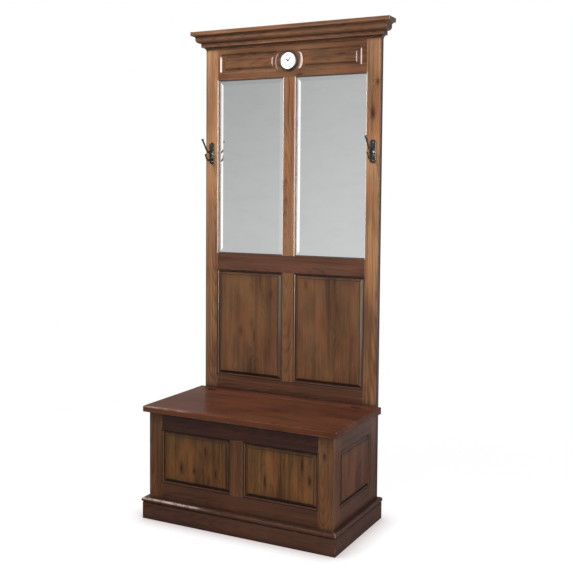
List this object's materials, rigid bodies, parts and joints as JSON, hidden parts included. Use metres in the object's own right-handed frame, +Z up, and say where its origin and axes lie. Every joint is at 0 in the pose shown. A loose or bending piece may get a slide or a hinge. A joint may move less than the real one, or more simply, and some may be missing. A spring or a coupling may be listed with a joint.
{
  "type": "hall tree",
  "caption": "Hall tree: a panelled storage bench with a lift-up seat under a tall back frame with bevelled mirrors, a clock, a stepped crown and coat hooks.",
  "frame": {"origin": "on the floor, in the middle of the overall bounding box", "axes": "+Z up, front faces -Y, +X to the right seen from the front"},
  "size_m": [0.9134, 0.465, 2.006],
  "materials": {
    "stained_pine": "semi-gloss stained knotty pine",
    "knotty_panel": "semi-gloss stained knotty pine, golden",
    "seat_pine": "semi-gloss stained pine, reddish",
    "raw_pine": "unfinished pine",
    "plywood": "thin plywood",
    "mirror_glass": "silvered bevelled glass",
    "dark_iron": "dark antique bronze",
    "hinge_bronze": "dark bronze plating",
    "clock_case_plastic": "moulded black",
    "soft_rubber": "matt",
    "battery_steel": "bright",
    "dial_card": "white card",
    "clear_glass": "clear",
    "black_hands": "black"
  },
  "bodies": {
    "case": {"left_stile": "stained_pine", "right_stile": "stained_pine", "header_rail": "stained_pine", "mirror_mullion": "stained_pine", "mid_rail": "stained_pine", "panel_mullion": "stained_pine", "back_bottom_rail": "stained_pine", "front_left_stile": "stained_pine", "front_right_stile": "stained_pine", "front_top_rail": "stained_pine", "front_bottom_rail": "stained_pine", "front_muntin": "stained_pine", "right_side_stiles": "stained_pine", "right_side_rails": "stained_pine", "left_side_stiles": "stained_pine", "left_side_rails": "stained_pine", "crown_cap": "stained_pine", "crown_front": "stained_pine", "crown_returns": "stained_pine", "neck_moulding": "stained_pine", "plinth_front": "stained_pine", "plinth_sides": "stained_pine", "plinth_cap": "stained_pine", "left_back_panel": "knotty_panel", "right_back_panel": "knotty_panel", "front_left_panel": "knotty_panel", "front_right_panel": "knotty_panel", "left_side_panel": "knotty_panel", "right_side_panel": "knotty_panel", "hinge_rail": "seat_pine", "rear_base_rail": "raw_pine", "bottom_cleats": "raw_pine", "mirror_stops": "raw_pine", "bench_back_panel": "plywood", "bottom_board": "plywood", "mirror_backings": "plywood", "left_mirror": "mirror_glass", "right_mirror": "mirror_glass", "left_hook": "dark_iron", "right_hook": "dark_iron", "hook_screws": "dark_iron", "hinge_fixed_leaves": "hinge_bronze", "hinge_pins": "hinge_bronze", "hinge_fixed_screws": "hinge_bronze"},
    "lid": {"lid_board": "seat_pine", "lid_battens": "raw_pine", "lid_bumpers": "soft_rubber", "hinge_moving_leaves": "hinge_bronze", "hinge_moving_screws": "hinge_bronze"},
    "clock": {"clock_housing": "clock_case_plastic", "clock_gasket": "soft_rubber", "clock_movement": "clock_case_plastic", "clock_battery": "battery_steel", "clock_dial": "dial_card", "clock_bezel": "dark_iron", "clock_lens": "clear_glass"},
    "minute_hand": {"minute_hand": "black_hands"},
    "hour_hand": {"hour_hand": "black_hands"},
    "setting_knob": {"setting_knob": "clock_case_plastic"},
    "battery_door": {"battery_door": "clock_case_plastic"}
  },
  "joints": [
    {"name": "lid_hinge", "type": "hinge", "parent": "case", "child": "lid", "pos_m": [0, 0.1525, 0.4615], "axis": [-1, 0, 0], "range_deg": [0, 98]},
    {"name": "clock_pull", "type": "slide", "parent": "case", "child": "clock", "axis": [0, -1, 0], "range_m": [0, 0.035]},
    {"name": "minute_hand_spin", "type": "hinge", "parent": "clock", "child": "minute_hand", "pos_m": [-0.006, 0.2045, 1.865], "axis": [0, 1, 0], "continuous": true},
    {"name": "hour_hand_spin", "type": "hinge", "parent": "clock", "child": "hour_hand", "pos_m": [-0.006, 0.2055, 1.865], "axis": [0, 1, 0], "continuous": true},
    {"name": "setting_knob_spin", "type": "hinge", "parent": "clock", "child": "setting_knob", "pos_m": [-0.019, 0.2315, 1.865], "axis": [0, 1, 0], "continuous": true},
    {"name": "battery_door_twist", "type": "hinge", "parent": "clock", "child": "battery_door", "pos_m": [0.008, 0.2298, 1.857], "axis": [0, 1, 0], "range_deg": [0, 45]}
  ],
  "couplings": [
    {"joint": "hour_hand_spin", "follows": "minute_hand_spin", "ratio": 0.083333},
    {"joint": "setting_knob_spin", "follows": "minute_hand_spin", "ratio": -1}
  ]
}
